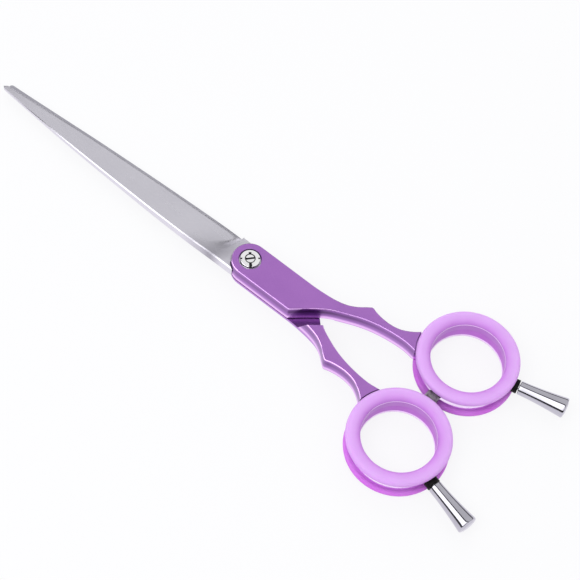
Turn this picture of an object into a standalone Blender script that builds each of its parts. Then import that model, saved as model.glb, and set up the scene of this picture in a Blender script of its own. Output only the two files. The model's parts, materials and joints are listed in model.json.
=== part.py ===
"""Hairdressing shears with an aluminium handle pair, steel blades and finger ring inserts.

Frame: origin on the pivot axis at the resting plane, +X towards the blade tips, +Z up through
the pivot bolt, +Y towards the rear finger ring. Sizes below are in millimetres.
"""

import math

import bmesh
import bpy
from mathutils import Matrix, Vector

MM = 0.001

# Levels along Z
TOP_Z = 7.7
MATE_Z = 2.2
RUN_GAP = 0.3
LAP_BOTTOM_Z = 0.3
SHANK_BOTTOM_Z = 1.5
FRONT_UNDER_Z = MATE_Z + RUN_GAP / 2
REAR_OVER_Z = MATE_Z - RUN_GAP / 2
FIT_GAP = 0.3
THREAD_GAP = 0.05

# Head and shanks
HEAD_R = 5.5
EDGE_ROUND = 0.55
UNDER_IN = 0.7
UNDER_UP = 1.0
LAP_END_X = -26.0
BELLY_LENGTH = 10.0
UNDER_STEP_X = -29.4
RAMP_FOOT = 3.0
RAMP_CREST = 5.1

# Finger rings and their inserts. SHANK_LONG runs from the pivot to the near side of a flange.
SHANK_LONG = 51.9
RING_APART = 2.3
INSERT_H = 8.8
FLANGE_R = 15.0
RING_X = -(SHANK_LONG + FLANGE_R)
FLANGE_W = 4.05
FLANGE_T = 2.15
WEB_T = 0.85
LIP_STANDS = 0.22
RING_Y = FLANGE_R + RING_APART / 2
BORE_R = FLANGE_R - FLANGE_W
LIP_R = BORE_R - LIP_STANDS
ROLL_W = 1.8
ROLL_H = 1.35
WEB_R = BORE_R + WEB_T
METAL_WALL = 1.7
METAL_IN_R = WEB_R + FIT_GAP
METAL_OUT_R = METAL_IN_R + METAL_WALL
RING_MID_Z = INSERT_H / 2
SEAT_R = FLANGE_R + FIT_GAP
REST_ANGLE = math.radians(13.8)

# Blades
FRONT_BLADE_T = 3.35
REAR_BLADE_T = 1.7
FRONT_TIP_T = 0.95
REAR_TIP_T = 0.85
FRONT_HEEL_Y = -5.2
REAR_HEEL_Y = 4.0
EDGE_T = 0.12
SPINE_BREAK = 0.075
HOLLOW_DEPTH = 0.2
TIP_ROUND = 0.8
RUN_OUT_LEAN = 4.5
RUN_OUT_LONG = 6.0
TONGUE_HALF_W = 3.4
REAR_TONGUE_HALF_W = 3.0
REAR_BOSS_R = 4.2
KEY_X = -15.5
KEY_R = 3.7
TANG_END_X = -14.0
TANG_TOP_Z = TOP_Z - 2.2
POCKET_ROOF_Z = TANG_TOP_Z + FIT_GAP
SHOULDER_R = HEAD_R + 0.25
TANG_ROOT_X = SHOULDER_R + 0.55
GRIND_X = SHOULDER_R + 0.75
TANG_SCREW_XS = (-7.6, -11.6)
TANG_SCREW_R = 0.95
TANG_SCREW_HEAD_R = 1.7
TANG_SCREW_HEAD_Z = 3.3
TANG_SCREW_TOP_Z = TOP_Z - 0.8

# Pivot
BOLT_R = 1.9
BOLT_HEAD_R = 3.0
BOLT_HEAD_T = 0.85
BOLT_TOP_Z = TOP_Z - 0.4
BOLT_HEAD_ROOM = 0.25
COUNTERBORE_R = 3.4
COUNTERBORE_Z = TOP_Z - 1.2
DISC_R = COUNTERBORE_R - 0.45
DISC_LOW_Z = TOP_Z - 0.75
DISC_TOP_Z = TOP_Z + 0.35
LOCK_HEAD_R = 1.4
LOCK_SHANK_R = 0.8
LOCK_LONG = 3.0
LOCK_SLOT_HALF_W = 0.3
LOCK_SLOT_DEEP = 0.4

# Finger rests, measured outwards from the ring centre
WASHER_IN = METAL_OUT_R + FIT_GAP
WASHER_T = 2.0
WASHER_OUT = WASHER_IN + WASHER_T
WASHER_R = 2.05
REST_IN = WASHER_OUT + FIT_GAP
REST_LONG = 14.3
REST_OUT = REST_IN + REST_LONG
REST_NECK_R = 2.05
REST_END_R = 3.0
STUD_R = 1.0
STUD_IN = METAL_IN_R + 0.15
STUD_OUT = REST_IN + 4.6

# Bumper between the rings
BUMPER_X = RING_X + 1.0
BUMPER_R = 2.1
BUMPER_PIN_R = 0.8

# Outer edge of a shank from head to ring, then its inner edge from ring to head. The roots by
# the ring are (degrees round the ring's centre, distance out from the metal ring).
OUTER_TO_SPIKE = ((-14, -HEAD_R), (-20, -HEAD_R), (-25, -5.85), (-28, -6.35), (-30.5, -7.1),
                  (-33, -8.5), (-35, -10.2), (-36.3, -11.2))
SPIKE_TO_RING = ((-36.9, -11.25), (-38.5, -10.75), (-41, -10.35), (-44, -10.35), (-47, -11.05))
OUTER_ROOT = ((11.2, 3.43), (5.9, 1.18))
INNER_ROOT = ((32.1, 1.43), (24.35, 4.75))
ROOT_SINK = 0.8
INNER_EDGE = ((-45, -8.15), (-40, -7.25), (-36, -6.0), (-32.5, -4.5))
LAP_CORNER = ((-19.0, HEAD_R - 0.3), (-18.75, HEAD_R - 0.08), (-18.4, HEAD_R))
RING_TO_LAP = INNER_EDGE + ((-29, -2.85), (-26.4, -1.25), (-23.7, 0.9), (-21.1, 3.25))

# Inner edge of the rear shank, which is fuller where it passes under the front handle
REAR_INNER = INNER_EDGE + ((-30.2, -3.3), (-28.4, -1.8), (-27, -0.3), (-25.4, 1.2),
                           (-23.2, 2.8), (-21, 4.1))

BLADE_TIP_X = 96.7
TIP_STEP = 0.8
REAR_TIP_X = BLADE_TIP_X - TIP_STEP
FRONT_SPINE = ((0, 5.2), (10, 5.25), (20, 5.35), (30, 5.2), (43, 4.75), (58, 4.1), (72, 3.35),
               (86, 2.35), (BLADE_TIP_X, 1.45))
FRONT_EDGE = ((GRIND_X + 0.4, -5.85), (30, -4.85), (48, -3.9), (58, -3.3), (77, -1.95),
              (BLADE_TIP_X, -0.3))
REAR_SPINE = ((0, -5.2), (5, -5.85), (9, -6.3), (20, -6.1), (39, -5.25), (58, -4.2), (73, -3.2),
              (87, -2.15), (REAR_TIP_X, -1.6))
REAR_EDGE = ((GRIND_X + 0.4, 4.4), (30, 4.3), (43, 3.85), (58, 3.15), (72, 2.4), (86, 1.4),
             (REAR_TIP_X, 0.2))

SEG_RING = 56
SEG_PIVOT = 36
SEG_SMALL = 20


def clear_scene():
    for obj in list(bpy.data.objects):
        bpy.data.objects.remove(obj, do_unlink=True)


def make_material(name, color, metallic, roughness):
    mat = bpy.data.materials.new(name)
    mat.use_nodes = True
    shader = mat.node_tree.nodes["Principled BSDF"]
    shader.inputs["Base Color"].default_value = (*color, 1.0)
    shader.inputs["Metallic"].default_value = metallic
    shader.inputs["Roughness"].default_value = roughness
    return mat


def object_from(bm, name, mat=None, smooth_deg=35.0):
    bmesh.ops.recalc_face_normals(bm, faces=bm.faces)
    bmesh.ops.scale(bm, vec=(MM, MM, MM), verts=bm.verts)
    for face in bm.faces:
        face.smooth = True
    for edge in bm.edges:
        if len(edge.link_faces) == 2 and edge.calc_face_angle() > math.radians(smooth_deg):
            edge.smooth = False
    mesh = bpy.data.meshes.new(name)
    bm.to_mesh(mesh)
    bm.free()
    obj = bpy.data.objects.new(name, mesh)
    bpy.context.collection.objects.link(obj)
    if mat:
        mesh.materials.append(mat)
    else:
        obj.hide_render = True
        obj.display_type = "WIRE"
    return obj


def set_origin(obj, x, y, z):
    shift = Vector((x, y, z)) * MM
    obj.data.transform(Matrix.Translation(-shift))
    obj.location = shift


def boolean(obj, other, operation="DIFFERENCE"):
    mod = obj.modifiers.new(f"{operation.lower()} {other.name}", "BOOLEAN")
    mod.operation = operation
    mod.solver = "EXACT"
    mod.object = other


def add_rings(bm, rings):
    """Joins point rings of equal count into a closed tube with a cap at each end."""
    rows = [[bm.verts.new(p) for p in ring] for ring in rings]
    count = len(rows[0])
    for low, high in zip(rows, rows[1:]):
        for i in range(count):
            j = (i + 1) % count
            bm.faces.new((low[i], low[j], high[j], high[i]))
    bm.faces.new(rows[0][::-1])
    bm.faces.new(rows[-1])


def lathe(name, profile, mat=None, segments=SEG_PIVOT, place=None, closed=False):
    """Turns an (r, z) profile round Z. An open profile starts and ends on the axis."""
    bm = bmesh.new()
    loop = []
    for r, z in profile:
        if r < 1e-6:
            loop.append([bm.verts.new((0, 0, z))])
            continue
        turn = [2 * math.pi * (i + 0.5) / segments for i in range(segments)]
        loop.append([bm.verts.new((r * math.cos(a), r * math.sin(a), z)) for a in turn])
    pairs = list(zip(loop, loop[1:]))
    if closed:
        pairs.append((loop[-1], loop[0]))
    for low, high in pairs:
        for i in range(segments):
            j = (i + 1) % segments
            if len(low) == 1:
                bm.faces.new((low[0], high[j], high[i]))
            elif len(high) == 1:
                bm.faces.new((low[i], low[j], high[0]))
            else:
                bm.faces.new((low[i], low[j], high[j], high[i]))
    if place:
        bmesh.ops.transform(bm, matrix=place, verts=bm.verts)
    return object_from(bm, name, mat)


def cylinder(name, radius, low, high, mat=None, segments=SEG_PIVOT, place=None):
    return lathe(name, ((0, low), (radius, low), (radius, high), (0, high)), mat, segments, place)


def prism(name, outline, low, high, mat=None):
    bm = bmesh.new()
    add_rings(bm, [[(x, y, z) for x, y in outline] for z in (low, high)])
    return object_from(bm, name, mat)


def box(name, x0, x1, y0, y1, z0, z1, place=None):
    bm = bmesh.new()
    corners = ((x0, y0), (x1, y0), (x1, y1), (x0, y1))
    add_rings(bm, [[(x, y, z) for x, y in corners] for z in (z0, z1)])
    if place:
        bmesh.ops.transform(bm, matrix=place, verts=bm.verts)
    return object_from(bm, name)


def arc(cx, cy, r, a0, a1, count):
    steps = [math.radians(a0 + (a1 - a0) * i / count) for i in range(count + 1)]
    return [(cx + r * math.cos(a), cy + r * math.sin(a)) for a in steps]


def curve_through(points, steps=3):
    """A smooth run through the points, ends included."""
    pts = [Vector(p) for p in points]
    pts = [2 * pts[0] - pts[1]] + pts + [2 * pts[-1] - pts[-2]]
    out = []
    for a, b, c, d in zip(pts, pts[1:], pts[2:], pts[3:]):
        for k in range(steps):
            t = k / steps
            p = 0.5 * (2 * b + (c - a) * t + (2 * a - 5 * b + 4 * c - d) * t * t
                       + (3 * b - a - 3 * c + d) * t ** 3)
            out.append((p.x, p.y))
    out.append((pts[-2].x, pts[-2].y))
    return out


def value_at(points, x):
    """Height of the smooth run through (x, y) points at x."""
    run = curve_through(points, 6)
    for (xa, ya), (xb, yb) in zip(run, run[1:]):
        if x <= xb:
            return ya + (yb - ya) * max(0.0, (x - xa) / (xb - xa))
    return run[-1][1]


def inset(outline, distance):
    """The outline moved inwards. It runs anticlockwise."""
    out = []
    count = len(outline)
    for i, point in enumerate(outline):
        back = (Vector(point) - Vector(outline[i - 1])).normalized()
        ahead = (Vector(outline[(i + 1) % count]) - Vector(point)).normalized()
        na = Vector((back.y, -back.x))
        nb = Vector((ahead.y, -ahead.x))
        miter = (na + nb) / max(0.35, 1 + na.dot(nb))
        out.append(tuple(Vector(point) - miter * distance))
    return out


def handle_blank(name, outline, belly, mat):
    """A thick plate with rounded edges. belly gives the underside's height at each x."""
    top = TOP_Z
    bm = bmesh.new()
    rings = [[(x, y, belly(x) + UNDER_UP * up) for x, y in inset(outline, UNDER_IN * away)]
             for away, up in ((1, 0), (0.3, 0.3), (0, 1))]
    rings += [[(x, y, top - EDGE_ROUND * down) for x, y in inset(outline, EDGE_ROUND * away)]
              for away, down in ((0, 1), (0.3, 0.3), (1, 0))]
    add_rings(bm, rings)
    return object_from(bm, name, mat)


def handle_outline(inner):
    """Front handle seen from above, anticlockwise from the lap corner round to it again."""
    head = arc(0, 0, HEAD_R, 90, -90, 22)
    run = head + curve_through(OUTER_TO_SPIKE)
    run += curve_through(SPIKE_TO_RING + by_ring(OUTER_ROOT))
    from_deg, to_deg = OUTER_ROOT[-1][0], INNER_ROOT[0][0]
    run += by_ring([(from_deg + (to_deg - from_deg) * i / 4, -ROOT_SINK) for i in range(5)])
    run += curve_through(by_ring(INNER_ROOT) + inner + LAP_CORNER[:1])[:-1] + list(LAP_CORNER)
    return run[::-1]


def by_ring(points):
    """Places (degrees, distance out from the metal ring) points round the front ring's centre."""
    placed = []
    for degrees, out in points:
        turn = math.radians(degrees)
        r = METAL_OUT_R + out
        placed.append((RING_X + r * math.cos(turn), r * math.sin(turn) - RING_Y))
    return tuple(placed)


def mirrored(outline):
    return [(x, -y) for x, y in outline[::-1]]


def rest_place(side):
    """Turns +Z outwards along a finger rest, with the ring centre at the origin."""
    out = Vector((-math.cos(REST_ANGLE), side * math.sin(REST_ANGLE), 0))
    turn = out.to_track_quat("Z", "Y").to_matrix().to_4x4()
    return Matrix.Translation((RING_X, side * RING_Y, RING_MID_Z)) @ turn


def cut_ring_end(handle, side, tag):
    """Seats the insert flanges, joins the metal ring and bores the stud hole."""
    centre = Matrix.Translation((RING_X, side * RING_Y, 0))
    low = FLANGE_T + FIT_GAP
    high = INSERT_H - FLANGE_T - FIT_GAP
    boolean(handle, cylinder(f"cut_seat_low_{tag}", SEAT_R, -1, low + 0.1, None, SEG_RING, centre))
    boolean(handle, cylinder(f"cut_seat_high_{tag}", SEAT_R, high - 0.1, 12, None, SEG_RING,
                             centre))
    soft = 0.3
    profile = ((METAL_IN_R, low), (METAL_OUT_R - soft, low), (METAL_OUT_R, low + soft),
               (METAL_OUT_R, high - soft), (METAL_OUT_R - soft, high), (METAL_IN_R, high))
    ring = lathe(f"add_metal_ring_{tag}", profile, None, SEG_RING, centre, closed=True)
    boolean(handle, ring, "UNION")
    boolean(handle, cylinder(f"cut_stud_{tag}", STUD_R + THREAD_GAP, METAL_IN_R - 1,
                             METAL_OUT_R + 1, None, SEG_SMALL, rest_place(side)))


def front_handle(mat):
    outline = handle_outline(RING_TO_LAP)
    handle = handle_blank("front_handle", outline, lambda x: SHANK_BOTTOM_Z, mat)
    boolean(handle, box("cut_under_head", UNDER_STEP_X, 9, -14, 9, -1, FRONT_UNDER_Z))
    half = TONGUE_HALF_W + FIT_GAP
    boolean(handle, box("cut_tang_pocket", TANG_END_X - FIT_GAP, 9, -half, half, -1,
                        POCKET_ROOF_Z))
    boolean(handle, cylinder("cut_head_bore", BOLT_R + THREAD_GAP, -1, 12))
    boolean(handle, cylinder("cut_counterbore", COUNTERBORE_R, COUNTERBORE_Z, 12))
    for i, x in enumerate(TANG_SCREW_XS):
        place = Matrix.Translation((x, 0, 0))
        boolean(handle, cylinder(f"cut_roof_thread_{i}", TANG_SCREW_R + THREAD_GAP,
                                 TANG_TOP_Z - 0.5, TANG_SCREW_TOP_Z + 0.2, None, SEG_SMALL,
                                 place))
    cut_ring_end(handle, -1, "front")
    pin = Matrix.Translation((BUMPER_X, 0, RING_MID_Z)) @ Matrix.Rotation(math.pi / 2, 4, "X")
    boolean(handle, cylinder("cut_bumper_hole", BUMPER_PIN_R + THREAD_GAP, 1, 5, None, SEG_SMALL,
                             pin))
    return handle


def rear_handle(mat):
    rise = SHANK_BOTTOM_Z - LAP_BOTTOM_Z

    def belly(x):
        return LAP_BOTTOM_Z + rise * smooth_step((LAP_END_X - x) / BELLY_LENGTH)

    handle = handle_blank("rear_handle", mirrored(handle_outline(REAR_INNER)), belly, mat)
    boolean(handle, ramp_cutter())
    boolean(handle, tongue_cutter())
    cut_ring_end(handle, 1, "rear")
    return handle


def ramp_cutter():
    """Clears the lap region, with a slanted wall standing off the front handle's inner edge."""
    start = Vector(LAP_CORNER[-1])
    along = (Vector(RING_TO_LAP[-3]) - start).normalized()
    away = Vector((along.y, -along.x))
    if away.y < 0:
        away = -away
    bm = bmesh.new()
    rings = []
    for z in (REAR_OVER_Z, 10.0):
        share = (z - REAR_OVER_Z) / (TOP_Z - REAR_OVER_Z)
        off = RAMP_FOOT + (RAMP_CREST - RAMP_FOOT) * share
        a = start - 25 * along + away * off
        b = start + 25 * along + away * off
        far = -away * 45
        rings.append([(p.x, p.y, z) for p in (a, b, b + far, a + far)])
    add_rings(bm, rings)
    return object_from(bm, "cut_lap")


def tongue_outline(grow, front_x):
    """Rear tongue: a round boss at the pivot, a strip and a round key at its end."""
    boss = REAR_BOSS_R + grow
    strip = REAR_TONGUE_HALF_W + grow
    key = KEY_R + grow
    boss_deg = math.degrees(math.asin(strip / boss))
    key_deg = math.degrees(math.asin(strip / key))
    top = [(front_x, strip)] + arc(0, 0, boss, boss_deg, 180 - boss_deg, 16)
    top += arc(KEY_X, 0, key, key_deg, 180, 20)
    return top + [(x, -y) for x, y in top[-2::-1]]


def tongue_cutter():
    return prism("cut_tongue_slot", tongue_outline(FIT_GAP, 9), -1, 4)


def smooth_step(t):
    t = min(1.0, max(0.0, t))
    return t * t * (3 - 2 * t)


def blade_body(name, mat, spine, edge, tip_x, mate_z, up, heel_t, tip_t, ricasso_y):
    """A flat-ground blade. Its flat heel ends in an arc-shaped run-out to the ground face."""
    body_end = tip_x - TIP_ROUND
    wide_from = GRIND_X + 13.5
    taper_x = GRIND_X + 5.5
    start = GRIND_X + 0.1
    near = (0, 0.15, 0.4, 0.8, 1.3, 1.8, 2.4, 3.0, 3.6, 4.2, 4.9, 5.6, 6.4, 7.3, 8.3, 9.5, 11)
    stations = [1.0, 4.0] + [GRIND_X + step for step in near]
    stations += [wide_from + (body_end - wide_from) * i / 14 for i in range(14)]
    stations += [body_end + TIP_ROUND * math.sin(math.radians(a)) for a in (0, 25, 45, 62, 78)]
    across = (0.0, 0.07, 0.17, 0.28, 0.4, 0.52, 0.64, 0.76, 0.88, 0.96, 1.0)
    rings = []
    for x in stations:
        ground = smooth_step((x - GRIND_X) / 0.3)
        y_edge = ricasso_y + (value_at(edge, max(x, edge[0][0])) - ricasso_y) * ground
        y_spine = value_at(spine, x)
        round_off = 1.0
        if x > body_end:
            round_off = math.sqrt(max(0.02, 1 - ((x - body_end) / TIP_ROUND) ** 2))
        mid = (y_edge + y_spine) / 2
        y_edge = mid + (y_edge - mid) * round_off
        y_spine = mid + (y_spine - mid) * round_off
        spine_t = heel_t + (tip_t - heel_t) * max(0.0, (x - taper_x) / (tip_x - taper_x))
        ring = []
        for v in across:
            wedge = EDGE_T + (spine_t - EDGE_T) * (0.08 + 0.92 * v if v > 0.01 else 0.0)
            gone = (x - start - RUN_OUT_LEAN * v * v) / (2.0 + RUN_OUT_LONG * v)
            gone = min(1.0, max(0.0, gone))
            run_out = 1 - (1 - gone) ** 2
            height = heel_t + (wedge - heel_t) * run_out
            if v > 0.99:
                height -= SPINE_BREAK * heel_t
            ring.append((x, y_edge + (y_spine - y_edge) * v, mate_z + up * height))
        for v in (1.0, 0.75, 0.5, 0.25, 0.0):
            bowl = (4 * v * (1 - v)) ** 0.5
            hollow = HOLLOW_DEPTH * bowl * smooth_step((x - GRIND_X - 1.5) / 6)
            hollow *= min(1.0, abs(y_spine - y_edge) / 10)
            ring.append((x, y_edge + (y_spine - y_edge) * v, mate_z + up * hollow))
        rings.append(ring)
    bm = bmesh.new()
    add_rings(bm, rings)
    return object_from(bm, name, mat, 20)


def front_blade(mat):
    blade = blade_body("front_blade", mat, FRONT_SPINE, FRONT_EDGE, BLADE_TIP_X, FRONT_UNDER_Z, 1,
                       FRONT_BLADE_T, FRONT_TIP_T, FRONT_HEEL_Y)
    boolean(blade, cylinder("cut_front_shoulder", SHOULDER_R, -1, 9, None, SEG_RING))
    half = TONGUE_HALF_W
    strip = [(TANG_ROOT_X, -half), (TANG_ROOT_X, half), (TANG_END_X, half), (TANG_END_X, -half)]
    boolean(blade, prism("add_front_tang", strip[::-1], FRONT_UNDER_Z + 0.05, TANG_TOP_Z), "UNION")
    boolean(blade, cylinder("cut_front_bore", BOLT_R + THREAD_GAP, -1, 9))
    for i, x in enumerate(TANG_SCREW_XS):
        place = Matrix.Translation((x, 0, 0))
        wide = TANG_SCREW_HEAD_R + FIT_GAP
        slim = TANG_SCREW_R + THREAD_GAP
        step = TANG_SCREW_HEAD_Z + FIT_GAP
        profile = ((0, -1), (wide, -1), (wide, step), (slim, step), (slim, 9), (0, 9))
        boolean(blade, lathe(f"cut_tang_screw_{i}", profile, None, SEG_SMALL, place))
    return blade


def rear_blade(mat):
    blade = blade_body("rear_blade", mat, REAR_SPINE, REAR_EDGE, REAR_TIP_X, REAR_OVER_Z, -1,
                       REAR_BLADE_T, REAR_TIP_T, REAR_HEEL_Y)
    boolean(blade, cylinder("cut_rear_shoulder", SHOULDER_R, -3, 9, None, SEG_RING))
    low = LAP_BOTTOM_Z + 0.1
    tongue = prism("add_rear_tongue", tongue_outline(0, TANG_ROOT_X), low, REAR_OVER_Z - 0.05)
    boolean(blade, tongue, "UNION")
    wide = BOLT_HEAD_R + FIT_GAP
    slim = BOLT_R + THREAD_GAP
    step = BOLT_HEAD_T + BOLT_HEAD_ROOM
    profile = ((0, -1), (wide, -1), (wide, step), (slim, step), (slim, 5), (0, 5))
    boolean(blade, lathe("cut_rear_bore", profile))
    return blade


def pivot_parts(steel, chrome, spring):
    head = BOLT_HEAD_R
    lock_bore = LOCK_SHANK_R + THREAD_GAP
    lock_low = TOP_Z - LOCK_LONG
    profile = ((0, 0), (head - 0.2, 0), (head, 0.2), (head, BOLT_HEAD_T), (BOLT_R, BOLT_HEAD_T),
               (BOLT_R, BOLT_TOP_Z), (lock_bore, BOLT_TOP_Z), (lock_bore, lock_low - FIT_GAP),
               (0, lock_low - FIT_GAP))
    lathe("pivot_bolt", profile, steel)
    low = COUNTERBORE_Z + 0.1
    inner = BOLT_R + 0.2
    outer = COUNTERBORE_R - 0.2
    profile = ((inner, low), (outer, low), (outer, low + 0.22), (inner, low + 0.22))
    lathe("spring_washer", profile, spring, closed=True)
    bore = BOLT_R + THREAD_GAP
    hole = LOCK_HEAD_R + 0.18
    step = BOLT_TOP_Z + 0.08
    profile = ((bore, DISC_LOW_Z), (DISC_R, DISC_LOW_Z), (DISC_R, DISC_TOP_Z - 0.22),
               (DISC_R - 0.08, DISC_TOP_Z - 0.07), (DISC_R - 0.24, DISC_TOP_Z),
               (hole, DISC_TOP_Z + 0.04), (hole, step), (bore, step))
    disc = lathe("tension_disc", profile, chrome, closed=True)
    long_slot = math.radians(132)
    slots = ((0, 1.2, 3.4, 0.4, 0.55), (90, 2.3, 3.4, 0.24, 0.4), (180, 1.2, 2.1, 0.4, 0.5),
             (270, 2.3, 3.4, 0.24, 0.4))
    for turn, near, far, half, deep in slots:
        place = Matrix.Rotation(long_slot + math.radians(turn), 4, "Z")
        cutter = box(f"cut_disc_slot_{turn}", near, far, -half, half, DISC_TOP_Z - deep, 9, place)
        boolean(disc, cutter)
    under = BOLT_TOP_Z + 0.06
    top = DISC_TOP_Z - 0.02
    soft = 0.12
    profile = ((0, lock_low), (LOCK_SHANK_R, lock_low), (LOCK_SHANK_R, under),
               (LOCK_HEAD_R, under), (LOCK_HEAD_R, top - soft), (LOCK_HEAD_R - soft, top),
               (0, top + 0.03))
    lock = lathe("lock_screw", profile, steel)
    place = Matrix.Rotation(math.radians(50), 4, "Z")
    boolean(lock, box("cut_lock_slot", -2, 2, -LOCK_SLOT_HALF_W, LOCK_SLOT_HALF_W,
                      top - LOCK_SLOT_DEEP, 9, place))


def tang_screws(steel):
    under = FRONT_UNDER_Z + 0.15
    for i, x in enumerate(TANG_SCREW_XS):
        profile = ((0, under), (TANG_SCREW_HEAD_R, under), (TANG_SCREW_HEAD_R, TANG_SCREW_HEAD_Z),
                   (TANG_SCREW_R, TANG_SCREW_HEAD_Z), (TANG_SCREW_R, TANG_SCREW_TOP_Z),
                   (0, TANG_SCREW_TOP_Z))
        place = Matrix.Translation((x, 0, 0))
        screw = lathe(f"tang_screw_{i + 1}", profile, steel, SEG_SMALL, place)
        slot = box(f"cut_tang_screw_slot_{i}", -2, 2, -0.2, 0.2, 0, under + 0.35, place)
        boolean(screw, slot)


def ring_insert(name, side, mat):
    h = INSERT_H
    t = FLANGE_T
    roll = [(LIP_R + ROLL_W * (1 - math.cos(a)), ROLL_H * (1 - math.sin(a)))
            for a in [math.radians(18 * k) for k in range(6)]]
    lower = ((BORE_R, ROLL_H + 0.4), *roll, (FLANGE_R - 1.3, 0), (FLANGE_R - 0.45, 0.28),
             (FLANGE_R - 0.1, 0.75), (FLANGE_R, 1.15), (FLANGE_R - 0.12, 1.6),
             (FLANGE_R - 0.5, t - 0.05), (FLANGE_R - 1.0, t), (WEB_R, t))
    upper = tuple((r, h - z) for r, z in lower[::-1])
    place = Matrix.Translation((RING_X, side * RING_Y, 0))
    lathe(name, lower + upper, mat, SEG_RING, place, closed=True)


def finger_rest(tag, side, chrome, rubber, steel):
    place = rest_place(side)
    hole = STUD_R + 0.3
    profile = ((hole, WASHER_IN), (WASHER_R, WASHER_IN), (WASHER_R, WASHER_OUT),
               (hole, WASHER_OUT))
    washer = lathe(f"{tag}_rest_washer", profile, rubber, 24, place, closed=True)
    span = REST_OUT - REST_IN
    flare = [(REST_NECK_R + (REST_END_R - REST_NECK_R) * s ** 1.7, REST_IN + span * s)
             for s in (0.02, 0.2, 0.4, 0.6, 0.8, 0.93)]
    bore = STUD_R + THREAD_GAP
    profile = ((0, STUD_OUT + 0.5), (bore, STUD_OUT + 0.5), (bore, REST_IN),
               (REST_NECK_R - 0.15, REST_IN), *flare, (REST_END_R - 0.02, REST_OUT - 0.5),
               (REST_END_R - 0.25, REST_OUT - 0.15), (REST_END_R - 0.9, REST_OUT + 0.1),
               (0, REST_OUT + 0.3))
    rest = lathe(f"{tag}_finger_rest", profile, chrome, 28, place)
    stud = cylinder(f"{tag}_rest_stud", STUD_R, STUD_IN, STUD_OUT, steel, SEG_SMALL, place)
    where = place @ Vector((0, 0, REST_IN))
    for obj in (washer, rest, stud):
        set_origin(obj, *where)


def bumper(rubber, steel):
    """A pad on a pin, standing from the front ring towards the rear one."""
    place = Matrix.Translation((BUMPER_X, 0, RING_MID_Z)) @ Matrix.Rotation(-math.pi / 2, 4, "X")
    reach = RING_Y - math.sqrt(METAL_OUT_R ** 2 - (BUMPER_R + abs(BUMPER_X - RING_X)) ** 2)
    face = reach - FIT_GAP - (METAL_OUT_R - METAL_OUT_R * math.cos(math.asin(
        (BUMPER_R + 1) / METAL_OUT_R)))
    hole = BUMPER_PIN_R + 0.3
    profile = ((0, -0.5), (hole, -0.5), (hole, -face), (BUMPER_R, -face), (BUMPER_R, face - 0.3),
               (BUMPER_R - 0.3, face), (0, face))
    lathe("bumper_pad", profile, rubber, 24, place)
    cylinder("bumper_pin", BUMPER_PIN_R, METAL_OUT_R - RING_Y - 1.4, -0.8, steel, SEG_SMALL, place)


def build():
    clear_scene()
    anodised = make_material("anodised_purple", (0.36, 0.16, 0.5), 0.8, 0.32)
    blade_steel = make_material("blade_steel", (0.62, 0.62, 0.66), 1.0, 0.3)
    steel = make_material("screw_steel", (0.6, 0.6, 0.62), 1.0, 0.25)
    chrome = make_material("chrome", (0.75, 0.75, 0.77), 1.0, 0.1)
    silicone = make_material("silicone_lilac", (0.65, 0.38, 0.85), 0.0, 0.5)
    rubber = make_material("black_rubber", (0.02, 0.02, 0.02), 0.0, 0.7)
    grey = make_material("grey_rubber", (0.3, 0.28, 0.3), 0.0, 0.5)
    front_handle(anodised)
    rear_handle(anodised)
    front_blade(blade_steel)
    rear_blade(blade_steel)
    pivot_parts(steel, chrome, steel)
    tang_screws(steel)
    for tag, side in (("front", -1), ("rear", 1)):
        ring_insert(f"ring_insert_{tag}", side, silicone)
        finger_rest(tag, side, chrome, rubber, steel)
    bumper(grey, steel)


build()
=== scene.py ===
"""Looks of the hairdressing shears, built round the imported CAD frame.

Everything is in metres in the CAD frame: origin on the pivot axis at the resting plane,
+X towards the blade tips, +Z up through the pivot bolt, +Y towards the rear finger ring.
"""

import json
import math

import bmesh
import bpy
from mathutils import Matrix, Vector

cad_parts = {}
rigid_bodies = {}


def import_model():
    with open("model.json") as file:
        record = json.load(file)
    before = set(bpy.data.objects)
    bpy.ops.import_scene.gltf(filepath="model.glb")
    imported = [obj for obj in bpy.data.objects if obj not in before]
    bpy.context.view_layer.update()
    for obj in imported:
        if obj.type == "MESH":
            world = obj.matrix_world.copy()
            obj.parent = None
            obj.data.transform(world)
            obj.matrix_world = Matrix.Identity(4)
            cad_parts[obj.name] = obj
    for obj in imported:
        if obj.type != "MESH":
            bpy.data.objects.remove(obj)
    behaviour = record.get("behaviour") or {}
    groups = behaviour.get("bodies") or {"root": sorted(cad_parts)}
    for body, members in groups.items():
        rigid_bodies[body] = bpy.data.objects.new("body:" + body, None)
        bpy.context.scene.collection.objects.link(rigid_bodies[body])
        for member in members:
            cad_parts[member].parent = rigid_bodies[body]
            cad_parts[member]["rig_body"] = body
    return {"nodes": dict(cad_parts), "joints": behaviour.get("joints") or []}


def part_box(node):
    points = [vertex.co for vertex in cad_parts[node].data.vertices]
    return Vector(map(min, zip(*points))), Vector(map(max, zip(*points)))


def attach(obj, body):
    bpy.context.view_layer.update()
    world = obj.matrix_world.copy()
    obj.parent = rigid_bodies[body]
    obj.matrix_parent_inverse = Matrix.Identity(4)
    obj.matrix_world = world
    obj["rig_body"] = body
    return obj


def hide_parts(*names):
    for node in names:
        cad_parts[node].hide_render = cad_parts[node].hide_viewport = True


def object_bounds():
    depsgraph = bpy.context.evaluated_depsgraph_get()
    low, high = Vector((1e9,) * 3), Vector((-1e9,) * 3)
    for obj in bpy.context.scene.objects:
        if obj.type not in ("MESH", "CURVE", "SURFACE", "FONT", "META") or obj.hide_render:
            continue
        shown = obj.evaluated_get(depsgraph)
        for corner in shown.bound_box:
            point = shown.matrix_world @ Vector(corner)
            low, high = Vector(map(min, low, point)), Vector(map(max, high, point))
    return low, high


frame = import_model()
CAD_LOW, CAD_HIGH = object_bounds()

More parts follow.
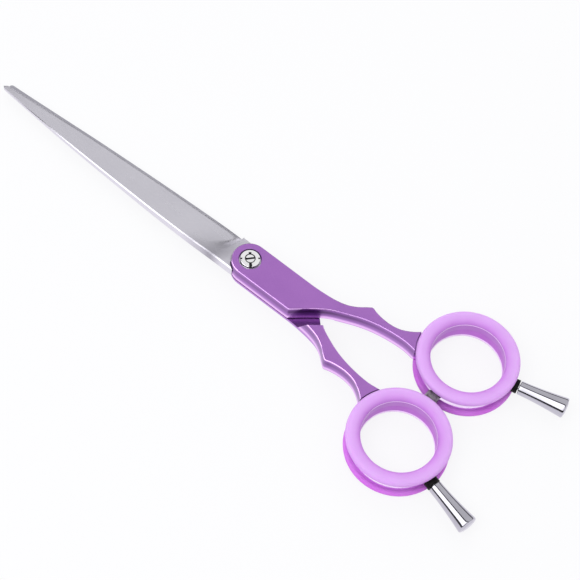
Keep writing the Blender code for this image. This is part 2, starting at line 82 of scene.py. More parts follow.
MM = 0.001
MM_PER_M = 1000.0

# Noise masks stay near their middle, so each is stretched between these two values.
NOISE_LOW, NOISE_HIGH = 0.3, 0.7

CAMERA_PLACE = (-0.14837, 0.21838, 0.45534)
CAMERA_TURN = (29.425, -4.405, -140.818)
CAMERA_LENS = 111.72
CAMERA_SENSOR = 36.0

SIDES = ("front", "rear")
ON_AXIS = 1e-6


# ---------------------------------------------------------------- shader helpers

def add_node(tree, kind, inputs=None, **settings):
    """A node with its settings, and its inputs given by name or number as values or sockets."""
    node = tree.nodes.new(kind)
    for key, value in settings.items():
        setattr(node, key, value)
    for key, value in (inputs or {}).items():
        if isinstance(value, bpy.types.NodeSocket):
            tree.links.new(value, node.inputs[key])
        else:
            node.inputs[key].default_value = value
    return node


def ramp(tree, source, stops):
    """A colour ramp through (position, grey or colour) stops."""
    node = add_node(tree, "ShaderNodeValToRGB", {0: source})
    points = node.color_ramp.elements
    while len(points) < len(stops):
        points.new(0.5)
    for point, (position, colour) in zip(points, stops):
        point.position = position
        point.color = (colour,) * 3 + (1,) if isinstance(colour, float) else (*colour, 1)
    return node.outputs["Color"]


def mix_colour(tree, share, low, high, blend="MIX"):
    """Two colours mixed by share, each given as a socket or three numbers."""
    node = add_node(tree, "ShaderNodeMix", data_type="RGBA", blend_type=blend)
    for key, value in ((0, share), (6, low), (7, high)):
        if isinstance(value, bpy.types.NodeSocket):
            tree.links.new(value, node.inputs[key])
        elif isinstance(value, tuple):
            node.inputs[key].default_value = (*value, 1)
        else:
            node.inputs[key].default_value = value
    return node.outputs[2]


def maths(tree, operation, a, b=0.0):
    return add_node(tree, "ShaderNodeMath", {0: a, 1: b}, operation=operation).outputs[0]


def rescale(tree, source, low, high, new_low=0.0, new_high=1.0):
    inputs = {"Value": source, "From Min": low, "From Max": high, "To Min": new_low,
              "To Max": new_high}
    return add_node(tree, "ShaderNodeMapRange", inputs).outputs["Result"]


def spread(tree, mask, new_low=0.0, new_high=1.0):
    """A noise mask stretched over its usual range and put between two values."""
    return rescale(tree, mask, NOISE_LOW, NOISE_HIGH, new_low, new_high)


def clouded(tree, mask, dark, light):
    """Two close tones of one finish, mixed by a noise mask."""
    return ramp(tree, mask, ((NOISE_LOW, dark), (NOISE_HIGH, light)))


def set_bump(tree, shader, height, strength, depth_mm):
    bump = add_node(tree, "ShaderNodeBump", {"Height": height, "Strength": strength,
                                             "Distance": depth_mm * MM})
    tree.links.new(bump.outputs[0], shader.inputs["Normal"])


def group(name, inputs, outputs):
    """An empty shader group. inputs maps a name to its default, outputs a name to its kind."""
    tree = bpy.data.node_groups.new(name, "ShaderNodeTree")
    for label, default in inputs.items():
        kind = "NodeSocketColor" if isinstance(default, tuple) else "NodeSocketFloat"
        socket = tree.interface.new_socket(label, in_out="INPUT", socket_type=kind)
        socket.default_value = (*default, 1) if isinstance(default, tuple) else default
    for label, kind in outputs.items():
        tree.interface.new_socket(label, in_out="OUTPUT", socket_type=kind)
    return tree, tree.nodes.new("NodeGroupInput"), tree.nodes.new("NodeGroupOutput")


def placed(tree, shared, **inputs):
    """Places a shared group in a material, its inputs given with _ for each space."""
    node = add_node(tree, "ShaderNodeGroup", node_tree=shared)
    for key, value in inputs.items():
        node.inputs[key.replace("_", " ")].default_value = value
    return node


def material(name, metallic=0.0):
    mat = bpy.data.materials.new(name)
    mat.use_nodes = True
    shader = mat.node_tree.nodes["Principled BSDF"]
    shader.inputs["Metallic"].default_value = metallic
    return mat, mat.node_tree, shader


# ---------------------------------------------------------------- shared effects

def make_fine_grain():
    """Blasted or moulded grain: a fine speckle and a slow cloud, as a height and two masks."""
    tree, given, out = group("fine grain", {"Grain Size mm": 0.12, "Cloud Size mm": 6.0},
                             {"Height": "NodeSocketFloat", "Speckle": "NodeSocketFloat",
                              "Cloud": "NodeSocketFloat"})
    place = add_node(tree, "ShaderNodeTexCoord").outputs["Object"]
    for size, mask, detail in (("Grain Size mm", "Speckle", 2.0), ("Cloud Size mm", "Cloud", 3.0)):
        scale = maths(tree, "DIVIDE", MM_PER_M, given.outputs[size])
        noise = add_node(tree, "ShaderNodeTexNoise", {"Vector": place, "Scale": scale,
                                                      "Detail": detail})
        tree.links.new(noise.outputs["Fac"], out.inputs[mask])
        if mask == "Speckle":
            tree.links.new(noise.outputs["Fac"], out.inputs["Height"])
    return tree


def make_ground_lines():
    """Fine parallel lines left by a wheel or a lathe, along one turned direction."""
    tree, given, out = group("ground lines", {"Pitch mm": 0.08, "Run mm": 12.0, "Turn": 0.0},
                             {"Lines": "NodeSocketFloat", "Bands": "NodeSocketFloat"})
    place = add_node(tree, "ShaderNodeTexCoord").outputs["Object"]
    aligned = add_node(tree, "ShaderNodeVectorRotate",
                       {"Vector": place, "Angle": given.outputs["Turn"]},
                       rotation_type="Z_AXIS").outputs[0]
    across = maths(tree, "DIVIDE", MM_PER_M, given.outputs["Pitch mm"])
    along = maths(tree, "DIVIDE", MM_PER_M, given.outputs["Run mm"])
    for mask, share in (("Lines", 1.0), ("Bands", 0.12)):
        fine = maths(tree, "MULTIPLY", across, share)
        stretch = add_node(tree, "ShaderNodeCombineXYZ", {0: along, 1: fine, 2: fine}).outputs[0]
        drawn_out = add_node(tree, "ShaderNodeVectorMath", {0: aligned, 1: stretch},
                             operation="MULTIPLY").outputs[0]
        noise = add_node(tree, "ShaderNodeTexNoise", {"Vector": drawn_out, "Scale": 1.0,
                                                      "Detail": 2.0})
        tree.links.new(noise.outputs["Fac"], out.inputs[mask])
    return tree


def make_scratches():
    """Sparse hairline scratches in two directions, as a mask that is 1 in a scratch."""
    tree, given, out = group("hairline scratches", {"Spacing mm": 3.0, "Amount": 0.5},
                             {"Scratch": "NodeSocketFloat"})
    place = add_node(tree, "ShaderNodeTexCoord").outputs["Object"]
    scale = maths(tree, "DIVIDE", MM_PER_M, given.outputs["Spacing mm"])
    thin_low, thin_high = 0.70, 0.74
    found = None
    for turn, stretch in ((0.5, (1.0, 14.0, 14.0)), (-0.9, (0.7, 11.0, 11.0))):
        aligned = add_node(tree, "ShaderNodeVectorRotate", {"Vector": place, "Angle": turn},
                           rotation_type="Z_AXIS").outputs[0]
        long = add_node(tree, "ShaderNodeVectorMath", {0: aligned, 1: stretch},
                        operation="MULTIPLY").outputs[0]
        noise = add_node(tree, "ShaderNodeTexNoise", {"Vector": long, "Scale": scale,
                                                      "Detail": 0.0}).outputs["Fac"]
        line = rescale(tree, noise, thin_low, thin_high)
        found = line if found is None else maths(tree, "MAXIMUM", found, line)
    amount = maths(tree, "MULTIPLY", found, given.outputs["Amount"])
    tree.links.new(amount, out.inputs["Scratch"])
    return tree


def make_edge_polish_and_highlight():
    """1 on faces that lean between flat and upright, where a tumbled chamfer is polished and gets
    a painted highlight.
    """
    tree, given, out = group("edge polish and painted highlight", {"Lean Low": 0.25, "Lean High": 0.93},
                             {"Edge": "NodeSocketFloat"})
    normal = add_node(tree, "ShaderNodeTexCoord").outputs["Normal"]
    lean = add_node(tree, "ShaderNodeSeparateXYZ", {0: normal}).outputs["Z"]
    soft_low, soft_high = 0.12, 0.06
    low, high = given.outputs["Lean Low"], given.outputs["Lean High"]
    rise = rescale(tree, lean, maths(tree, "SUBTRACT", low, soft_low), low)
    fall = rescale(tree, lean, high, maths(tree, "ADD", high, soft_high), 1.0, 0.0)
    tree.links.new(maths(tree, "MULTIPLY", rise, fall), out.inputs["Edge"])
    return tree


def make_wall_painted_light():
    """Masks of painted light on the walls: a dark band of painted shade high up and on the lap's
    floor, a pale band of painted sheen low down.
    """
    tree, given, out = group("wall painted shade and sheen", {"Dark Height mm": 5.0, "Pale Height mm": 3.0},
                             {"Dark": "NodeSocketFloat", "Pale": "NodeSocketFloat"})
    texture = add_node(tree, "ShaderNodeTexCoord").outputs
    facing = add_node(tree, "ShaderNodeSeparateXYZ", {0: texture["Normal"]}).outputs
    upright = rescale(tree, maths(tree, "ABSOLUTE", facing["Z"]), 0.1, 0.4, 1.0, 0.0)
    inner = rescale(tree, facing["X"], -0.55, -0.15, 1.0, 0.6)
    height = add_node(tree, "ShaderNodeSeparateXYZ", {0: texture["Object"]}).outputs["Z"]
    height = maths(tree, "MULTIPLY", height, MM_PER_M)

    def band(mask, reach_mm, share):
        """1 at the mask's own height on an upright wall, fading over reach_mm."""
        away = maths(tree, "ABSOLUTE", maths(tree, "SUBTRACT", height,
                                             given.outputs[f"{mask} Height mm"]))
        return maths(tree, "MULTIPLY", rescale(tree, away, 0.2, reach_mm, share, 0.0), upright)

    # Painted shade on the lap's floor, low down under the front handle.
    floor_low_mm, floor_high_mm, floor_share = 3.0, 4.0, 0.58
    lap_floor_shade = maths(tree, "MULTIPLY", rescale(tree, facing["Z"], 0.6, 0.9),
                      rescale(tree, height, floor_low_mm, floor_high_mm, floor_share, 0.0))
    # Painted shade high on the walls, strongest on walls facing -X.
    dark = maths(tree, "MULTIPLY", band("Dark", 2.7, 0.97), inner)
    tree.links.new(maths(tree, "MAXIMUM", dark, lap_floor_shade), out.inputs["Dark"])
    tree.links.new(band("Pale", 1.1, 0.8), out.inputs["Pale"])
    return tree


def make_run_out_shade():
    """Where a ground face runs out: painted shade, deepest at the spine, and a dull band on the
    arc.
    """
    tree, given, out = group("run-out painted shade", {"Heel mm": 6.4, "Edge mm": -5.85, "Width mm": 11.0},
                             {"Tone": "NodeSocketFloat", "Dull": "NodeSocketFloat"})
    place = add_node(tree, "ShaderNodeTexCoord").outputs["Object"]
    axes = add_node(tree, "ShaderNodeSeparateXYZ", {0: place}).outputs
    along = maths(tree, "MULTIPLY", axes["X"], MM_PER_M)
    across = maths(tree, "SUBTRACT", maths(tree, "MULTIPLY", axes["Y"], MM_PER_M),
                   given.outputs["Edge mm"])
    share = maths(tree, "DIVIDE", across, given.outputs["Width mm"])
    arc_mm, fade_mm = 4.5, 11.0
    bend = maths(tree, "POWER", maths(tree, "ABSOLUTE", share), 2.0)
    arc = maths(tree, "MULTIPLY", bend, arc_mm)
    past = maths(tree, "SUBTRACT", maths(tree, "SUBTRACT", along, given.outputs["Heel mm"]), arc)
    rise = rescale(tree, past, -arc_mm, -0.5)
    fall = rescale(tree, past, 0.0, fade_mm, 1.0, 0.0)
    weight = rescale(tree, share, 0.15, 0.9, 0.05, 0.66)
    # Painted shade where the grind runs out.
    tone = maths(tree, "MULTIPLY", maths(tree, "MULTIPLY", rise, fall), weight)
    tree.links.new(tone, out.inputs["Tone"])
    dull = rescale(tree, maths(tree, "ABSOLUTE", past), 0.5, 3.5, 1.0, 0.0)
    tree.links.new(dull, out.inputs["Dull"])
    return tree


FINE_GRAIN = make_fine_grain()
RUN_OUT_SHADE = make_run_out_shade()
WALL_PAINTED_LIGHT = make_wall_painted_light()
GROUND_LINES = make_ground_lines()
SCRATCHES = make_scratches()
EDGE_POLISH_AND_HIGHLIGHT = make_edge_polish_and_highlight()


# ---------------------------------------------------------------- materials

def anodised_handle():
    """Satin anodised aluminium: blasted grain, polished chamfers with a painted highlight, painted
    shade and sheen on the walls, faint handling marks.
    """
    mat, tree, shader = material("satin anodised aluminium", 1.0)
    grain = placed(tree, FINE_GRAIN, Grain_Size_mm=0.16, Cloud_Size_mm=9.0)
    marks = placed(tree, SCRATCHES, Spacing_mm=7.0, Amount=0.03)
    edge = placed(tree, EDGE_POLISH_AND_HIGHLIGHT, Lean_Low=0.3, Lean_High=0.9)
    wall = placed(tree, WALL_PAINTED_LIGHT, Dark_Height_mm=6.0, Pale_Height_mm=3.0)
    colour = clouded(tree, grain.outputs["Cloud"], (0.40, 0.165, 0.57), (0.45, 0.19, 0.62))
    speck = maths(tree, "MULTIPLY", spread(tree, grain.outputs["Speckle"]), 0.24)
    colour = mix_colour(tree, speck, colour, (0.66, 0.36, 0.80))
    # Painted shade high on the walls and on the lap's floor, then painted sheen low on the walls.
    colour = mix_colour(tree, wall.outputs["Dark"], colour, (0.085, 0.025, 0.13))
    colour = mix_colour(tree, wall.outputs["Pale"], colour, (0.92, 0.58, 0.98))
    # Painted highlight: the chamfers get a paler colour; their lower roughness below is their
    # polish.
    colour = mix_colour(tree, maths(tree, "MULTIPLY", edge.outputs["Edge"], 0.8), colour,
                        (0.92, 0.62, 1.0))
    colour = mix_colour(tree, marks.outputs["Scratch"], colour, (0.7, 0.4, 0.8))
    tree.links.new(colour, shader.inputs["Base Color"])
    rough = spread(tree, grain.outputs["Cloud"], 0.30, 0.37)
    rough = maths(tree, "SUBTRACT", rough, maths(tree, "MULTIPLY", edge.outputs["Edge"], 0.12))
    tree.links.new(rough, shader.inputs["Roughness"])
    set_bump(tree, shader, grain.outputs["Height"], 0.4, 0.02)
    return mat


def satin_blade(name, dark, light, heel_mm, edge_mm, wide_mm):
    """Ground stainless steel: lengthwise lines, and painted shade where the grind runs out.

    heel_mm is where the grind starts along X. edge_mm is the edge's Y, and wide_mm the way from
    there to the spine, below zero where the spine lies towards -Y.
    """
    mat, tree, shader = material(name, 1.0)
    lines = placed(tree, GROUND_LINES, Pitch_mm=0.10, Run_mm=9.0, Turn=0.0)
    grain = placed(tree, FINE_GRAIN, Grain_Size_mm=0.1, Cloud_Size_mm=14.0)
    marks = placed(tree, SCRATCHES, Spacing_mm=8.0, Amount=0.08)
    colour = clouded(tree, grain.outputs["Cloud"], dark, light)
    run_out = placed(tree, RUN_OUT_SHADE, Heel_mm=heel_mm, Edge_mm=edge_mm, Width_mm=wide_mm)
    # Painted shade where the grind runs out.
    colour = mix_colour(tree, run_out.outputs["Tone"], colour, (0.24, 0.23, 0.27))
    bright = (0.80, 0.79, 0.84)
    line = maths(tree, "MULTIPLY", spread(tree, lines.outputs["Lines"]), 0.12)
    colour = mix_colour(tree, line, colour, bright)
    colour = mix_colour(tree, marks.outputs["Scratch"], colour, bright)
    tree.links.new(colour, shader.inputs["Base Color"])
    rough = spread(tree, lines.outputs["Bands"], 0.27, 0.33)
    rough = maths(tree, "ADD", rough, maths(tree, "MULTIPLY", run_out.outputs["Dull"], 0.22))
    tree.links.new(rough, shader.inputs["Roughness"])
    set_bump(tree, shader, lines.outputs["Lines"], 0.12, 0.01)
    return mat


def polished_chrome(name, dark, light):
    """Bright plating with fine turning marks and light scuffs."""
    mat, tree, shader = material(name, 1.0)
    grain = placed(tree, FINE_GRAIN, Grain_Size_mm=0.5, Cloud_Size_mm=4.0)
    marks = placed(tree, SCRATCHES, Spacing_mm=2.5, Amount=0.4)
    colour = clouded(tree, grain.outputs["Cloud"], dark, light)
    tree.links.new(colour, shader.inputs["Base Color"])
    rough = spread(tree, grain.outputs["Speckle"], 0.06, 0.11)
    rough = maths(tree, "ADD", rough, maths(tree, "MULTIPLY", marks.outputs["Scratch"], 0.15))
    tree.links.new(rough, shader.inputs["Roughness"])
    set_bump(tree, shader, grain.outputs["Speckle"], 0.05, 0.01)
    return mat


def turned_steel():
    """Screws and bolt: turned steel, slightly darker in its grain."""
    mat, tree, shader = material("turned screw steel", 1.0)
    lines = placed(tree, GROUND_LINES, Pitch_mm=0.06, Run_mm=1.5, Turn=0.7)
    colour = clouded(tree, lines.outputs["Bands"], (0.46, 0.46, 0.49), (0.62, 0.62, 0.65))
    tree.links.new(colour, shader.inputs["Base Color"])
    tree.links.new(spread(tree, lines.outputs["Lines"], 0.18, 0.32), shader.inputs["Roughness"])
    set_bump(tree, shader, lines.outputs["Lines"], 0.15, 0.01)
    return mat


def lilac_silicone():
    """Translucent moulded silicone, with painted shade: palest on its top roll, and deeper down
    the sleeve and the bore.
    """
    mat, tree, shader = material("lilac silicone")
    grain = placed(tree, FINE_GRAIN, Grain_Size_mm=0.25, Cloud_Size_mm=7.0)
    height = add_node(tree, "ShaderNodeSeparateXYZ", {
        0: add_node(tree, "ShaderNodeTexCoord").outputs["Object"]}).outputs["Z"]
    # Painted shade: the colour deepens from the top roll down to the lower flange.
    share = rescale(tree, height, 0.0, CAD_HIGH.z)
    depth = ramp(tree, share, ((0.0, (0.52, 0.11, 0.62)), (0.40, (0.50, 0.14, 0.60)),
                               (0.80, (0.47, 0.20, 0.60)), (0.97, (0.56, 0.32, 0.68))))
    # More painted shade towards the bore.
    bore_shade = add_node(tree, "ShaderNodeAttribute", attribute_name="bore_shade").outputs["Fac"]
    depth = mix_colour(tree, maths(tree, "MULTIPLY", bore_shade, 0.75), depth, (0.42, 0.13, 0.54))
    cloud = spread(tree, grain.outputs["Cloud"], 0.0, 0.2)
    colour = mix_colour(tree, cloud, depth, (0.66, 0.36, 0.80))
    tree.links.new(colour, shader.inputs["Base Color"])
    tree.links.new(spread(tree, grain.outputs["Cloud"], 0.40, 0.52), shader.inputs["Roughness"])
    shader.inputs["Subsurface Weight"].default_value = 0.45
    shader.inputs["Subsurface Radius"].default_value = (1.0, 0.45, 1.0)
    shader.inputs["Subsurface Scale"].default_value = 1.5 * MM
    shader.inputs["Specular IOR Level"].default_value = 0.4
    set_bump(tree, shader, grain.outputs["Height"], 0.18, 0.02)
    return mat


def moulded_rubber(name, dark, light, roughness, gloss):
    """Rubber or silicone with a fine moulded grain. gloss is the Principled specular level."""
    mat, tree, shader = material(name)
    shader.inputs["Specular IOR Level"].default_value = gloss
    grain = placed(tree, FINE_GRAIN, Grain_Size_mm=0.12, Cloud_Size_mm=1.5)
    colour = clouded(tree, grain.outputs["Cloud"], dark, light)
    tree.links.new(colour, shader.inputs["Base Color"])
    rough = spread(tree, grain.outputs["Speckle"], roughness - 0.08, roughness + 0.08)
    tree.links.new(rough, shader.inputs["Roughness"])
    set_bump(tree, shader, grain.outputs["Height"], 0.3, 0.02)
    return mat


def painted_recess_shade():
    """Painted shade: near-black steel in the driver slots and round the lock screw's rim."""
    mat, tree, shader = material("recess painted shade", 0.6)
    grain = placed(tree, FINE_GRAIN, Grain_Size_mm=0.08, Cloud_Size_mm=0.8)
    colour = clouded(tree, grain.outputs["Cloud"], (0.012, 0.012, 0.014), (0.05, 0.05, 0.055))
    tree.links.new(colour, shader.inputs["Base Color"])
    rough = spread(tree, grain.outputs["Speckle"], 0.45, 0.65)
    tree.links.new(rough, shader.inputs["Roughness"])
    return mat


ANODISED = anodised_handle()
RECESS_SHADE = painted_recess_shade()
HEEL_MM = 6.4
FRONT_STEEL = satin_blade("satin ground steel", (0.63, 0.615, 0.68), (0.67, 0.655, 0.72),
                          HEEL_MM, edge_mm=-5.85, wide_mm=11.0)
# The rear blade is the same steel as the front one, painted darker as shade.
SHADED_REAR_STEEL = satin_blade("satin rear steel painted darker", (0.40, 0.39, 0.45), (0.46, 0.45, 0.51),
                         HEEL_MM, edge_mm=4.4, wide_mm=-10.6)
CHROME = polished_chrome("polished chrome", (0.46, 0.45, 0.51), (0.53, 0.52, 0.58))
PLATED = polished_chrome("bright plated steel", (0.92, 0.92, 0.94), (1.0, 1.0, 1.0))
# Polished metal for the finger-ring grooves; its paleness is a painted highlight.
GROOVE_POLISH_AND_HIGHLIGHT = polished_chrome("polished lilac metal with painted highlight", (0.74, 0.58, 0.82), (0.84, 0.70, 0.90))
# Painted highlight for the lip lines of the silicone sleeves.
LIP_HIGHLIGHT = moulded_rubber("silicone lip painted highlight", (0.84, 0.64, 0.90), (0.90, 0.74, 0.94),
                     roughness=0.35, gloss=0.5)
SCREW = turned_steel()
SILICONE = lilac_silicone()
BLACK = moulded_rubber("black rubber", (0.002, 0.002, 0.002), (0.006, 0.006, 0.006),
                       roughness=0.5, gloss=0.12)
GREY = moulded_rubber("grey rubber", (0.03, 0.025, 0.03), (0.26, 0.23, 0.26),
                      roughness=0.16, gloss=1.0)


# ---------------------------------------------------------------- mesh helpers

def new_object(name, bm, mat):
    mesh = bpy.data.meshes.new(name)
    bm.to_mesh(mesh)
    bm.free()
    mesh.materials.append(mat)
    obj = bpy.data.objects.new(name, mesh)
    bpy.context.scene.collection.objects.link(obj)
    return obj


def finished(obj):
    """The object with its modifiers' result as its own plain mesh."""
    graph = bpy.context.evaluated_depsgraph_get()
    mesh = bpy.data.meshes.new_from_object(obj.evaluated_get(graph))
    obj.modifiers.clear()
    obj.data = mesh
    return obj


def smooth_shaded(bm):
    for face in bm.faces:
        face.smooth = True


def stands_for(obj, node):
    """The object rides the CAD node's body and takes its place."""
    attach(obj, frame["nodes"][node]["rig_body"])
    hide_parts(node)
    return obj


def refined(node, name, mat, round_mm, sharp_deg=38):
    """A merged, edge-rounded copy of a CAD node that stands for it."""
    merge_mm, flat_deg = 0.002, 0.4
    bm = bmesh.new()
    bm.from_mesh(frame["nodes"][node].data)
    bmesh.ops.remove_doubles(bm, verts=bm.verts, dist=merge_mm * MM)
    bmesh.ops.dissolve_limit(bm, angle_limit=math.radians(flat_deg), verts=bm.verts,
                             edges=bm.edges)
    smooth_shaded(bm)
    obj = new_object(name, bm, mat)
    bevel = obj.modifiers.new("rounded edges", "BEVEL")
    bevel.limit_method = "ANGLE"
    bevel.angle_limit = math.radians(sharp_deg)
    bevel.width = round_mm * MM
    bevel.segments = 2
    bevel.use_clamp_overlap = True
    weights = obj.modifiers.new("flat faces stay flat", "WEIGHTED_NORMAL")
    weights.keep_sharp = True
    weights.weight = 80
    return stands_for(finished(obj), node)


def make_turning_tree():
    """Geometry Nodes: sweeps a closed wire profile round a level circle and gives its finish.

    A profile point's X is added to the turn radius, and its Y runs downwards.
    """
    tree = bpy.data.node_groups.new("turned sleeve", "GeometryNodeTree")
    for label, kind in (("Profile", "NodeSocketGeometry"), ("Turn Radius", "NodeSocketFloat"),
                        ("Segments", "NodeSocketInt"), ("Finish", "NodeSocketMaterial")):
        tree.interface.new_socket(label, in_out="INPUT", socket_type=kind)
    tree.interface.new_socket("Sleeve", in_out="OUTPUT", socket_type="NodeSocketGeometry")
    given = tree.nodes.new("NodeGroupInput").outputs
    outline = add_node(tree, "GeometryNodeMeshToCurve", {"Mesh": given["Profile"]})
    path = add_node(tree, "GeometryNodeCurvePrimitiveCircle",
                    {"Resolution": given["Segments"], "Radius": given["Turn Radius"]})
    level = add_node(tree, "GeometryNodeSetCurveNormal", {"Curve": path.outputs["Curve"]},
                     mode="Z_UP")
    sweep = add_node(tree, "GeometryNodeCurveToMesh", {"Curve": level.outputs["Curve"],
                                                       "Profile Curve": outline.outputs["Curve"]})
    whole = add_node(tree, "GeometryNodeRealizeInstances", {"Geometry": sweep.outputs["Mesh"]})
    done = add_node(tree, "GeometryNodeSetMaterial", {"Geometry": whole.outputs["Geometry"],
                                                      "Material": given["Finish"]})
    out = tree.nodes.new("NodeGroupOutput")
    tree.links.new(done.outputs["Geometry"], out.inputs["Sleeve"])
    return tree


def swept(name, profile, finish, place, turn_mm, segments):
    """A closed (r, z) profile in millimetres, turned by the turning tree and put in place."""
    wire = bpy.data.meshes.new(name)
    points = [((r - turn_mm) * MM, -z * MM, 0) for r, z in profile]
    wire.from_pydata(points, [(i, (i + 1) % len(points)) for i in range(len(points))], [])
    obj = bpy.data.objects.new(name, wire)
    bpy.context.scene.collection.objects.link(obj)
    turning = obj.modifiers.new("turned", "NODES")
    turning.node_group = TURNING
    named = {item.name: item.identifier for item in TURNING.interface.items_tree}
    turning[named["Turn Radius"]] = turn_mm * MM
    turning[named["Segments"]] = segments
    turning[named["Finish"]] = finish
    finished(obj)
    bm = bmesh.new()
    bm.from_mesh(obj.data)
    bmesh.ops.transform(bm, matrix=place, verts=bm.verts)
    bmesh.ops.recalc_face_normals(bm, faces=bm.faces)
    smooth_shaded(bm)
    bm.to_mesh(obj.data)
    bm.free()
    return obj


TURNING = make_turning_tree()


def darken_slots(obj, floor_drop_mm, reach_mm, rim_mm=None):
    """Gives the painted shade material to the faces under the top face, and to those beyond the
    rim.
    """
    deepest_mm = 1.0
    top = max(v.co.z for v in obj.data.vertices)
    obj.data.materials.append(RECESS_SHADE)
    for face in obj.data.polygons:
        drop = (top - face.center.z) / MM
        away = face.center.xy.length / MM
        in_slot = floor_drop_mm < drop < deepest_mm and away < reach_mm
        if in_slot or (rim_mm and away > rim_mm):
            face.material_index = 1


def polish_and_highlight_groove(shell, side):
    """The metal ring between the flanges is polished, from its chamfers to its wall, and paler
    than the handle as a painted highlight.
    """
    chamfer_mm = 0.9
    low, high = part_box(f"ring_insert_{side}")
    centre = (low + high) / 2
    wall = (high.x - low.x) / 2 - chamfer_mm * MM
    shell.data.materials.append(GROOVE_POLISH_AND_HIGHLIGHT)
    for face in shell.data.polygons:
        if (face.center.xy - centre.xy).length < wall:
            face.material_index = 1


def turned(name, profile, mat, place, segments):
    """A closed (r, z) profile in millimetres, turned round Z and put in place."""
    sharp, merge = math.radians(40), 0.0005 * MM
    bm = bmesh.new()
    rows = []
    for i in range(segments):
        a = 2 * math.pi * i / segments
        rows.append([bm.verts.new((r * math.cos(a) * MM, r * math.sin(a) * MM, z * MM))
                     for r, z in profile])
    for this, following in zip(rows, rows[1:] + rows[:1]):
        for i in range(len(profile)):
            j = (i + 1) % len(profile)
            bm.faces.new((this[i], following[i], following[j], this[j]))
    bmesh.ops.remove_doubles(bm, verts=bm.verts, dist=merge)
    bmesh.ops.dissolve_degenerate(bm, dist=merge, edges=bm.edges)
    bmesh.ops.transform(bm, matrix=place, verts=bm.verts)
    bmesh.ops.recalc_face_normals(bm, faces=bm.faces)
    smooth_shaded(bm)
    for edge in bm.edges:
        if len(edge.link_faces) == 2 and edge.calc_face_angle() > sharp:
            edge.smooth = False
    return new_object(name, bm, mat)


def rounded(profile, radius):
    """The closed profile with each corner turned into an arc no larger than its sides allow.

    Corners on the axis and corners that are nearly straight are kept as they are.
    """
    steps, most_of_side, nearly_straight = 4, 0.45, -0.985
    out = []
    for i, point in enumerate(profile):
        p = Vector(point)
        back = Vector(profile[i - 1]) - p
        ahead = Vector(profile[(i + 1) % len(profile)]) - p
        straight = back.normalized().dot(ahead.normalized()) < nearly_straight
        if point[0] < ON_AXIS or straight:
            out.append(tuple(p))
            continue
        cut = min(radius, most_of_side * back.length, most_of_side * ahead.length)
        a = p + back.normalized() * cut
        b = p + ahead.normalized() * cut
        for k in range(steps + 1):
            t = k / steps
            out.append(tuple(a * (1 - t) ** 2 + p * 2 * t * (1 - t) + b * t ** 2))
    return out


# ---------------------------------------------------------------- pieces

# Ring inserts, in millimetres
SLEEVE_WALL = 4.05
LIP_STANDS = 0.2
LIP_HIGHLIGHT_WIDTH = 0.25
FLANGE_STANDS = 3.2
FLANGE_THICK = 2.15
ROLL_WIDE, ROLL_HIGH = 1.8, 1.35
BORE_SHADE_FADE = 2.4

# Finger rests and their washers, in millimetres
PEG_NECK, PEG_END, PEG_LONG = 2.05, 3.0, 14.3
PEG_FLARE = 1.7
DOME_HIGH = 0.24
STUD_HOLE_R, STUD_HOLE_DEEP = 1.05, 5.1
WASHER_HOLE_R = 1.3

# Bumper, in millimetres
PIN_HOLE_R, PIN_HOLE_END = 1.1, -0.5
DARK_END = 0.5


def ring_insert(node):
    """Silicone sleeve: two rounded flanges, a waist, lip steps with a painted highlight band and a
    mould line in the bore.

    The profile's lower half is drawn from the bore outwards, in millimetres, then mirrored.
    """
    low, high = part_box(node)
    centre = (low + high) / 2
    outer = (high.x - low.x) / 2 / MM
    h = (high.z - low.z) / MM
    bore = outer - SLEEVE_WALL
    lip = bore - LIP_STANDS
    waist = outer - FLANGE_STANDS
    quarter_turn = [math.radians(9 * k) for k in range(11)]
    roll = [(lip + ROLL_WIDE * (1 - math.cos(a)), ROLL_HIGH * (1 - math.sin(a)))
            for a in quarter_turn]
    mould_line = [(bore + 0.03, h / 2 - 0.1), (bore, h / 2 - 0.22)]
    lip_step = [(bore, ROLL_HIGH + 0.5), (bore - 0.03, ROLL_HIGH + 0.32),
                (lip + 0.12, ROLL_HIGH + 0.18), (lip + 0.03, ROLL_HIGH + 0.12)]
    rim = [(outer - 1.4, 0.0), (outer - 0.95, 0.07), (outer - 0.55, 0.24), (outer - 0.25, 0.5),
           (outer - 0.07, 0.85), (outer, 1.2), (outer - 0.08, 1.55), (outer - 0.3, 1.85),
           (outer - 0.65, 2.07), (outer - 1.1, FLANGE_THICK)]
    inner_corner = [(waist + 0.2, FLANGE_THICK), (waist, FLANGE_THICK + 0.2)]
    lower = mould_line + lip_step + roll + rim + inner_corner
    upper = [(r, h - z) for r, z in lower[::-1]]
    place = Matrix.Translation((centre.x, centre.y, low.z))
    obj = swept(f"{node}_sleeve", lower + upper, SILICONE, place, bore, 160)
    # Per point, how much painted shade the bore gets: 1 at the lip, fading outwards.
    bore_shade = obj.data.attributes.new("bore_shade", "FLOAT", "POINT")
    for vertex in obj.data.vertices:
        r = (vertex.co.xy - centre.xy).length / MM
        share = (lip + BORE_SHADE_FADE - r) / BORE_SHADE_FADE
        bore_shade.data[vertex.index].value = min(1.0, max(0.0, share))
    # A pale band at each lip line is a painted highlight.
    obj.data.materials.append(LIP_HIGHLIGHT)
    for face in obj.data.polygons:
        r = (face.center.xy - centre.xy).length / MM
        depth = min(face.center.z - low.z, high.z - face.center.z) / MM
        if r < lip + LIP_HIGHLIGHT_WIDTH and ROLL_HIGH - 0.24 < depth < ROLL_HIGH + 0.36:
            face.material_index = 1
    return stands_for(obj, node)


def outward_place(tag):
    """Puts +Z along a finger rest's axis, from the ring centre. Also how far out it starts."""
    low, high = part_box(f"ring_insert_{tag}")
    centre = (low + high) / 2
    joint = next(j for j in frame["joints"] if j["name"] == f"{tag}_rest_turn")
    turn = Vector(joint["axis"]).to_track_quat("Z", "Y").to_matrix().to_4x4()
    start = (Vector(joint["pos_m"]) - centre).length / MM
    return Matrix.Translation(centre) @ turn, start


